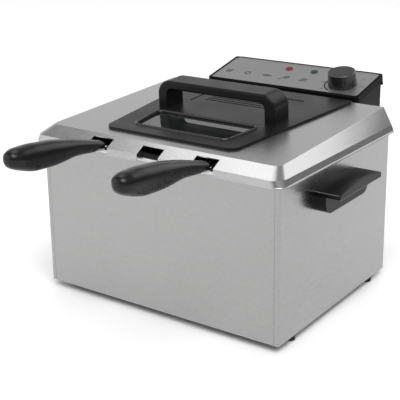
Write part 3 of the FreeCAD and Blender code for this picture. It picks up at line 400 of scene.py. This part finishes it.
class Shape:
    """Vertices and faces gathered for one piece."""

    def __init__(self):
        self.points = []
        self.faces = []

    def rows(self, rows, caps=True):
        """Joins rings of equal length into a skin, closed round each ring."""
        start = len(self.points)
        count = len(rows[0])
        for row in rows:
            self.points.extend(tuple(point) for point in row)
        for i in range(len(rows) - 1):
            for j in range(count):
                a = start + i * count + j
                b = start + i * count + (j + 1) % count
                self.faces.append((a, b, b + count, a + count))
        if caps:
            self.faces.append(tuple(range(start + count - 1, start - 1, -1)))
            last = start + (len(rows) - 1) * count
            self.faces.append(tuple(range(last, last + count)))

    def wire(self, path, radius, sides=5, closed=False):
        """A round wire along a path."""
        path = np.asarray(path, dtype=float)
        if closed:
            ahead = np.roll(path, -1, axis=0) - np.roll(path, 1, axis=0)
        else:
            ahead = np.gradient(path, axis=0)
        ahead /= np.linalg.norm(ahead, axis=1)[:, None]
        guide = UPRIGHT_GUIDE if abs(ahead[:, 2]).max() < STEEP else STEEP_GUIDE
        across = np.cross(ahead, guide)
        across /= np.linalg.norm(across, axis=1)[:, None]
        upward = np.cross(across, ahead)
        turns = np.arange(sides) * 2 * math.pi / sides
        rows = [
            [p + radius * (math.cos(t) * a + math.sin(t) * u) for t in turns]
            for p, a, u in zip(path, across, upward)
        ]
        if closed:
            rows.append(rows[0])
        self.rows(rows, caps=not closed)

    def slab(self, outline, low, high, place):
        """A flat outline given thickness; place turns (x, y, level) into a point."""
        start = len(self.points)
        count = len(outline)
        for level in (low, high):
            self.points.extend(tuple(place(x, y, level)) for x, y in outline)
        self.faces.append(tuple(range(start + count - 1, start - 1, -1)))
        self.faces.append(tuple(range(start + count, start + 2 * count)))
        for j in range(count):
            k = (j + 1) % count
            self.faces.append((start + j, start + k, start + count + k, start + count + j))

    def piece(self, name, material, body, slot, smooth=30.0):
        """Makes the object. Edges that turn by less than smooth degrees are shaded smooth."""
        mesh = bpy.data.meshes.new(name)
        mesh.from_pydata(self.points, [], self.faces)
        mesh.materials.append(material)
        merge = bmesh.new()
        merge.from_mesh(mesh)
        bmesh.ops.remove_doubles(merge, verts=merge.verts, dist=MERGE_DISTANCE)
        bmesh.ops.recalc_face_normals(merge, faces=merge.faces)
        merge.to_mesh(mesh)
        merge.free()
        piece = bpy.data.objects.new(name, mesh)
        bpy.context.scene.collection.objects.link(piece)
        mesh.shade_smooth()
        mesh.set_sharp_from_angle(angle=math.radians(smooth))
        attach(piece, body)
        return piece


def corners(name):
    """The low and high corners of a CAD node's box."""
    low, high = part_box(name)
    return Vector(low), Vector(high)


def disc(radius, count, x=0.0, y=0.0):
    turns = [i * 2 * math.pi / count for i in range(count)]
    return [(x + radius * math.cos(t), y + radius * math.sin(t)) for t in turns]


def rounded(half_x, half_y, radius, spacing):
    """Points evenly spread round a rounded rectangle, and the direction outward at each."""
    straight_x, straight_y = half_x - radius, half_y - radius
    quarter = radius * math.pi / 2
    lengths = [2 * straight_y, quarter, 2 * straight_x, quarter] * 2
    total = sum(lengths)
    count = 2 * round(total / spacing / 2)
    middles = [(straight_x, straight_y), (-straight_x, straight_y), (-straight_x, -straight_y),
               (straight_x, -straight_y)]
    points, outward = [], []
    for i in range(count):
        run = total * i / count
        side = 0
        while run > lengths[side]:
            run -= lengths[side]
            side += 1
        turn = (side // 2) * math.pi / 2
        if side % 2:
            x, y = middles[side // 2]
            angle = turn + run / radius
            normal = (math.cos(angle), math.sin(angle))
            run = 0.0
        else:
            x, y = middles[(side // 2 - 1) % 4]
            normal = (round(math.cos(turn)), round(math.sin(turn)))
        points.append((x + radius * normal[0] - normal[1] * run, y + radius * normal[1] + normal[0] * run))
        outward.append(normal)
    return np.array(points), np.array(outward)


# ---------------------------------------------------------------- baskets

MESH_PITCH = 0.0068
MESH_WIRE = 0.00055
WEAVE = 0.00045
BASKET_DRAFT = 0.006
BASKET_BEND = 0.0155


def over_under(step):
    """The weave's offset outward at a crossing; it changes sides from one crossing to the next."""
    return WEAVE if step % 2 else -WEAVE


def weave_walls(shape, centre, half_x, half_y, floor, top):
    """Level wires round the tub and upright ones between them, drawn in towards the floor."""
    levels = round((top - floor) / MESH_PITCH)
    points, outward = rounded(half_x, half_y, BASKET_BEND, MESH_PITCH)
    count = len(points)
    grid = np.zeros((levels + 1, count, 3))
    for level in range(levels + 1):
        share = level / levels
        shrink = BASKET_DRAFT * (1.0 - share)
        flat = points * (1.0 - shrink / np.array([half_x, half_y]))
        grid[level, :, 0] = flat[:, 0] + centre.x
        grid[level, :, 1] = flat[:, 1] + centre.y
        grid[level, :, 2] = floor + share * (top - floor)
    normal = np.column_stack([outward, np.zeros(count)])
    for level in range(levels + 1):
        wave = np.array([over_under(i + level + 1) for i in range(count)])
        shape.wire(grid[level] + normal * wave[:, None], MESH_WIRE, closed=True)
    for i in range(count):
        wave = np.array([over_under(i + level) for level in range(levels + 1)])
        shape.wire(grid[:, i] + normal[i] * wave[:, None], MESH_WIRE)


def weave_floor(shape, centre, half_x, half_y, floor):
    """Wires across the floor both ways, each as long as the rounded corners leave room for."""
    for along, across, axis in ((half_x, half_y, 0), (half_y, half_x, 1)):
        lines = 2 * round(across / MESH_PITCH) - 1
        for k in range(lines):
            offset = (k - (lines - 1) / 2) * MESH_PITCH
            past = max(0.0, abs(offset) - (across - BASKET_BEND))
            reach = along - BASKET_BEND + math.sqrt(max(BASKET_BEND ** 2 - past ** 2, 0.0))
            steps = max(3, 2 * round(reach / MESH_PITCH) + 1)
            line = np.zeros((steps, 3))
            line[:, axis] = np.linspace(-reach, reach, steps)
            line[:, 1 - axis] = offset
            line[:, 2] = [over_under(j + k + axis) for j in range(steps)]
            shape.wire(line + np.array([centre.x, centre.y, floor]), MESH_WIRE)


def woven_basket(side):
    """The tub, woven from round wires that pass over and under each other."""
    name = f"basket_{side}_mesh"
    low, high = corners(name)
    centre = (low + high) / 2
    inset = MESH_WIRE + WEAVE
    half_x = (high.x - low.x) / 2 - inset
    half_y = (high.y - low.y) / 2 - inset
    floor = low.z + inset
    shape = Shape()
    weave_walls(shape, centre, half_x, half_y, floor, high.z - MESH_WIRE)
    weave_floor(shape, centre, half_x - BASKET_DRAFT, half_y - BASKET_DRAFT, floor)
    wire = MATERIALS["basket_wire"]
    tub = shape.piece(f"basket_{side}_weave", wire, f"basket_{side}", "basket_wire", 80.0)
    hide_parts(name)


GRIP_STATIONS = [
    # distance from the tip, middle height, half width, half height, in millimetres
    (0.0, 230.8, 1.5, 1.5),
    (0.5, 230.7, 4.6, 4.8),
    (4.0, 230.5, 10.2, 9.6),
    (14.0, 229.5, 14.8, 13.2),
    (38.0, 225.7, 16.0, 16.9),
    (75.0, 222.6, 15.9, 15.9),
    (110.0, 220.4, 13.5, 10.7),
    (140.0, 214.4, 11.5, 8.5),
    (158.0, 210.8, 10.9, 6.7),
]
GRIP_ROWS = 64
GRIP_POINTS = 48
GRIP_SMOOTHING = 6
GRIP_FULLNESS_ABOVE = 2.25
GRIP_FULLNESS_BELOW = 2.5
# The lower half is set in by this share, fully so from the first distance on, and fading over the others.
RIDGE_STEP = 0.075
RIDGE_FROM = 12.0
RIDGE_FADES = (70.0, 120.0)


def grip_section(half_width, half_height, step):
    """A full upper half over a lower half that is set in a little, so a ridge runs along the side."""
    section = []
    for i in range(GRIP_POINTS):
        turn = 2 * math.pi * i / GRIP_POINTS
        c, s = math.cos(turn), math.sin(turn)
        power = 2 / (GRIP_FULLNESS_ABOVE if s >= 0 else GRIP_FULLNESS_BELOW)
        x = half_width * math.copysign(abs(c) ** power, c)
        z = half_height * math.copysign(abs(s) ** power, s)
        if s < -0.1:
            x *= 1.0 - step
        section.append((x, z))
    return section


def grip_step(distance):
    """How far the lower half is set in at a distance from the tip."""
    fade_from, fade_to = RIDGE_FADES
    fade = max(0.0, min(1.0, (fade_to - distance) / (fade_to - fade_from)))
    return RIDGE_STEP * min(1.0, distance / RIDGE_FROM) * fade


def basket_grip(side):
    """The moulded grip with its full rounded end and a parting ridge."""
    name = f"basket_{side}_grip"
    low, high = corners(name)
    middle = (low.x + high.x) / 2
    table = np.array(GRIP_STATIONS)
    peak = (table[:, 1] + table[:, 3]).max()
    stretch = np.sqrt(table[:, 0])
    places = np.linspace(0.0, stretch[-1], GRIP_ROWS)
    rows = np.column_stack([np.interp(places, stretch, table[:, k]) for k in (1, 2, 3)])
    for _ in range(GRIP_SMOOTHING):
        rows[2:-1] = (rows[1:-2] + 2 * rows[2:-1] + rows[3:]) / 4
    length = high.y - low.y
    skin = []
    for place, (height, half_width, half_height) in zip(places, rows):
        distance = place ** 2
        y = low.y + length * distance / table[-1, 0]
        z = high.z + (height - peak) * MM
        section = grip_section(half_width, half_height, grip_step(distance))
        skin.append([(middle + x * MM, y, z + up * MM) for x, up in section])
    shape = Shape()
    shape.rows(skin)
    black = MATERIALS["black_grip"]
    grip = shape.piece(f"basket_{side}_handgrip", black, f"basket_{side}", "black_grip", 26.0)
    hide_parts(name)


# ---------------------------------------------------------------- lid

FLATNESS = 1e-5


def top_outline(name):
    """The flat top of a node: its middle, its normal and its points in order round the middle."""
    mesh = frame["nodes"][name].data
    widest = max(mesh.polygons, key=lambda face: face.area * (face.normal.z > 0.5))
    normal = widest.normal.copy()
    level = max(vertex.co.dot(normal) for vertex in mesh.vertices)
    places = {tuple(round(value, 6) for value in vertex.co) for vertex in mesh.vertices
              if level - vertex.co.dot(normal) < FLATNESS}
    points = [Vector(place) for place in sorted(places)]
    low, high = Vector(map(min, zip(*points))), Vector(map(max, zip(*points)))
    middle = (low + high) / 2
    along = normal.cross(Vector((1.0, 0.0, 0.0)))
    points.sort(key=lambda point: math.atan2((point - middle).dot(along), (point - middle).x))
    return middle, normal, points


NOTCHES = (-0.081, 0.0, 0.081)
NOTCH_HALF = 0.0165
HEM = 0.0011
HEM_BEND = 0.014


def lid_hem():
    """The rolled bottom edge of the lid's skirt, broken at the three notches."""
    low, high = corners("lid_shell")
    x, y, z = high.x - HEM, low.y + HEM, low.z + HEM
    clear = NOTCH_HALF + HEM
    corner = [
        (x - HEM_BEND + HEM_BEND * math.cos(t), y + HEM_BEND + HEM_BEND * math.sin(t), z)
        for t in np.linspace(0.0, -math.pi / 2, 13)
    ]
    runs = [[(x, high.y - HEM, z)] + corner + [(NOTCHES[2] + clear, y, z)]]
    runs.append([(-px, py, pz) for px, py, pz in runs[0]])
    for left, right in zip(NOTCHES, NOTCHES[1:]):
        runs.append([(left + clear, y, z), (right - clear, y, z)])
    hem = Shape()
    for run in runs:
        hem.wire(run, HEM, sides=10)
    hem.piece("lid_hem", MATERIALS["lid_steel"], "lid", "lid_steel", 70.0)


BEZEL = 0.0021
BEZEL_OUT = 0.0022
BEZEL_SUNK = 0.0005


def window_bezel():
    """A rounded bead round the window, half sunk in the black moulding."""
    middle, normal, points = top_outline("window_glass")
    level = max(vertex.co.dot(normal) for vertex in frame["nodes"]["lid_insert"].data.vertices)
    path = []
    for point in points:
        away = (point - middle).normalized()
        path.append(point + away * BEZEL_OUT + normal * (level - point.dot(normal) - BEZEL_SUNK))
    bead = Shape()
    bead.wire(path, BEZEL, sides=12, closed=True)
    bead.piece("window_bezel", MATERIALS["black_gloss"], "lid", "black_gloss", 80.0)


# ---------------------------------------------------------------- side handles

HOOD_LOW = 0.0215
HOOD_HIGH = 0.0274
HOOD_INSET = 0.005
HOOD_BEAD = 0.0007


def hood_edges(side):
    """Fine beads along the hood's lower outer edge and across its front lip, in a lighter grey that paints a
    highlight line along both.
    """
    low, high = corners(f"side_handle_{side}")
    near, far = (high.x, low.x) if side == "left" else (low.x, high.x)
    inward = math.copysign(HOOD_BEAD, near - far)
    front = low.y + HOOD_INSET
    level = low.z + HOOD_LOW
    lip = low.z + HOOD_HIGH - HOOD_BEAD
    edges = Shape()
    edges.wire([(far + inward, front, level), (far + inward, high.y - HOOD_BEAD, level)], HOOD_BEAD, sides=10)
    edges.wire([(near, front, lip), (far + 2 * inward, front, lip)], HOOD_BEAD, sides=10)
    # The lighter edge material on these beads is a painted highlight.
    edges.piece(f"side_handle_{side}_edges", PAINTED_HIGHLIGHT_EDGE, "base", "black_satin", 70.0)


# ---------------------------------------------------------------- control panel, in millimetres

class PanelPlace:
    """Turns (across, along, up) from the dial's middle on the sloping plate into a point."""

    def __init__(self):
        joints = frame["record"]["behaviour"]["joints"]
        knob = next(joint for joint in joints if joint["name"] == "knob_turn")
        self.origin = Vector(knob["pos_m"])
        self.up = Vector(knob["axis"]).normalized()
        self.across = Vector((1.0, 0.0, 0.0))
        self.along = self.up.cross(self.across)
        self.origin += self.up * self.level("faceplate")

    def level(self, name):
        """How high a node's top stands over the origin, in metres."""
        mesh = frame["nodes"][name].data
        return max((vertex.co - self.origin).dot(self.up) for vertex in mesh.vertices)

    def __call__(self, x, y, up):
        return self.origin + (self.across * x + self.along * y + self.up * up) * MM


PRINT_HIGH = 0.08
ICON_ROW = [-192.7, -159.7, -126.7, -94.3, -63.0]
ICON_ALONG = -3.0
ICON_SCALE = 1.25
RING_ICON = (2.8, 5.4)


def turned(outline, angle, x=0.0, y=0.0):
    c, s = math.cos(angle), math.sin(angle)
    return [(x + px * c - py * s, y + px * s + py * c) for px, py in outline]


def bar(half_x, half_y):
    return [(-half_x, -half_y), (half_x, -half_y), (half_x, half_y), (-half_x, half_y)]


def leaf(half_x, half_y):
    """A long rounded outline with slightly pointed ends."""
    return [(half_x * x, half_y * y * abs(y) ** 0.3) for x, y in disc(1.0, 20)]


def ring(shape, place, x, y, inner, outer, count):
    """A flat ring, made of slabs."""
    for i in range(count):
        a, b = 2 * math.pi * i / count, 2 * math.pi * (i + 1) / count
        outline = [
            (x + radius * math.cos(turn), y + radius * math.sin(turn))
            for radius, turn in ((inner, a), (outer, a), (outer, b), (inner, b))
        ]
        shape.slab(outline, 0.0, PRINT_HIGH, place)


def icon_outlines():
    """Outlines for the food signs by their place in the row: chips, a fish, a drumstick and a bun."""
    chips = [turned(bar(0.8, 4.2), lean, shift) for lean, shift in ((0.16, -3.3), (0.05, -1.1))]
    chips += [turned(bar(0.8, 4.2), -lean, shift) for lean, shift in ((0.05, 1.1), (0.16, 3.3))]
    fish = [leaf(5.2, 2.9), [(4.2, 0.0), (7.4, 2.6), (7.4, -2.6)]]
    meat = turned(leaf(4.2, 3.4), 0.8, 1.4, 1.4)
    bone = turned(bar(3.6, 0.7), 0.8, -3.0, -3.0)
    drumstick = [meat, bone, disc(1.2, 12, -5.6, -5.2)]
    crown = [(5.2 * math.cos(t), 0.6 + 3.6 * math.sin(t)) for t in np.linspace(0.0, math.pi, 14)]
    bun = [crown, [(px, -2.4 + py) for px, py in bar(5.2, 1.3)]]
    return {0: chips, 2: fish, 3: drumstick, 4: bun}


def panel_signs(place):
    """Five plain food signs; the second is a ring."""
    signs = Shape()
    for spot, outlines in icon_outlines().items():
        for outline in outlines:
            moved = [(ICON_ROW[spot] + ICON_SCALE * x, ICON_ALONG + ICON_SCALE * y) for x, y in outline]
            signs.slab(moved, 0.0, PRINT_HIGH, place)
    ring(signs, place, ICON_ROW[1], ICON_ALONG, *RING_ICON, 28)
    signs.piece("panel_signs", PRINT_GREY, "control", "panel_steel")


DIAL_START = math.radians(225)
DIAL_SWEEP = math.radians(270)
DIAL_NUMBERS = ["130", "140", "150", "160", "170", "180", "190"]
TICKS_PER_NUMBER = 4
TICK_RADIUS = 27.4
TICK_HALF_LONG = 0.9
TICK_HALF_SHORT = 0.55
TICK_HALF_WIDE = 0.22
NUMBER_RADIUS = 31.6
NUMBER_SIZE = 3.6


def dial_ticks(place):
    """Ticks round the dial, longer at the numbers."""
    ticks = Shape()
    steps = TICKS_PER_NUMBER * (len(DIAL_NUMBERS) - 1)
    for i in range(steps + 1):
        angle = DIAL_START - DIAL_SWEEP * i / steps
        half = TICK_HALF_SHORT if i % TICKS_PER_NUMBER else TICK_HALF_LONG
        x, y = TICK_RADIUS * math.cos(angle), TICK_RADIUS * math.sin(angle)
        ticks.slab(turned(bar(half, TICK_HALF_WIDE), angle, x, y), 0.0, PRINT_HIGH, place)
    ticks.piece("dial_ticks", PRINT_DARK, "control", "panel_steel")


def dial_numbers(place):
    """Temperatures round the dial."""
    facing = Matrix((place.across, place.along, place.up)).transposed().to_4x4()
    for i, label in enumerate(DIAL_NUMBERS):
        angle = DIAL_START - DIAL_SWEEP * i / (len(DIAL_NUMBERS) - 1)
        text = bpy.data.curves.new(f"dial_number_{label}", "FONT")
        text.body = label
        text.size = NUMBER_SIZE * MM
        text.align_x = "CENTER"
        text.align_y = "CENTER"
        text.extrude = PRINT_HIGH * MM / 2
        text.materials.append(PRINT_DARK)
        number = bpy.data.objects.new(f"dial_number_{label}", text)
        bpy.context.scene.collection.objects.link(number)
        spot = place(NUMBER_RADIUS * math.cos(angle), NUMBER_RADIUS * math.sin(angle), PRINT_HIGH / 2)
        number.matrix_world = Matrix.Translation(spot) @ facing
        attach(number, "control")


POINTER_MIDDLE = 12.5
POINTER_HALF = (0.7, 4.3)
POINTER_LEVELS = (-0.7, -0.25)


def knob_pointer(place):
    """A thin line in the groove on the knob's top."""
    top = place.level("control_knob") / MM
    outline = [(x, y + POINTER_MIDDLE) for x, y in bar(*POINTER_HALF)]
    pointer = Shape()
    pointer.slab(outline, *POINTER_LEVELS, lambda x, y, up: place(x, y, top + up))
    pointer.piece("knob_pointer", PRINT_GREY, "knob", "black_gloss")


PANEL_BEAD = 0.9


def panel_rim(place):
    """The moulded bead that frames the plate."""
    points = [point - place.origin for point in top_outline("faceplate")[2]]
    flat = [Vector((point.dot(place.across), point.dot(place.along))) / MM for point in points]
    hull = [flat[i] for i in convex_hull_2d(flat)]
    path = []
    for i, point in enumerate(hull):
        ahead = (hull[(i + 1) % len(hull)] - hull[i - 1]).normalized()
        x, y = point + Vector((ahead.y, -ahead.x)) * PANEL_BEAD
        path.append(place(x, y, 0.0))
    rim = Shape()
    rim.wire(path, PANEL_BEAD * MM, sides=10, closed=True)
    rim.piece("panel_rim", DULLER["panel_cover"], "control", "black_gloss", 70.0)


KNOB_BEAD = 0.45
KNOB_BEAD_SUNK = 0.35
KNOB_TOP_BAND = 1.2


def knob_rim(place):
    """A lighter grey bead round the knob's top: a painted highlight along its edge."""
    top = place.level("control_knob") / MM
    spots = [(vertex.co - place.origin) / MM for vertex in frame["nodes"]["control_knob"].data.vertices]
    radius = max(math.hypot(spot.dot(place.across), spot.dot(place.along))
                 for spot in spots if top - spot.dot(place.up) < KNOB_TOP_BAND)
    level = top - KNOB_BEAD - KNOB_BEAD_SUNK
    circle = [place(x, y, level) for x, y in disc(radius - KNOB_BEAD / 2, 64)]
    rim = Shape()
    rim.wire(circle, KNOB_BEAD * MM, sides=8, closed=True)
    # The lighter edge material on this ring is a painted highlight.
    rim.piece("knob_rim", PAINTED_HIGHLIGHT_EDGE, "knob", "black_gloss", 80.0)


SCREW_REACH = 3.6
CROSS_HALF = (2.1, 0.42)
CROSS_LEVELS = (-0.3, 0.06)


def painted_cross_shade():
    """Dark crosses on the heads of the four screws that hold the back plate: painted shade standing in for
    cross recesses, set a hair proud of each head.
    """
    low, high = corners("back_plate_screws")
    reach = SCREW_REACH * MM
    long, wide = CROSS_HALF
    shape = Shape()
    for x in (low.x + reach, high.x - reach):
        for z in (low.z + reach, high.z - reach):
            head = Vector((x, high.y, z))
            for outline in (bar(long, wide), bar(wide, long)):
                shape.slab(outline, *CROSS_LEVELS, lambda px, py, up: head + Vector((px, up, py)) * MM)
    # The black fittings colour on these crosses is painted shade in place of the hollow of a recess.
    shape.piece("back_screw_cross_shade", MATERIALS["black_fittings"], "control", "plain_screw_steel")


# ---------------------------------------------------------------- the whole scene

make_camera()
make_world()
make_lights()
make_floor()
dress_cad_nodes()
soften_edges()
for side in ("left", "right"):
    woven_basket(side)
    basket_grip(side)
    hood_edges(side)
panel = PanelPlace()
panel_signs(panel)
dial_ticks(panel)
dial_numbers(panel)
knob_pointer(panel)
panel_rim(panel)
knob_rim(panel)
window_bezel()
lid_hem()
painted_cross_shade()
bpy.context.scene.view_settings.view_transform = "Standard"
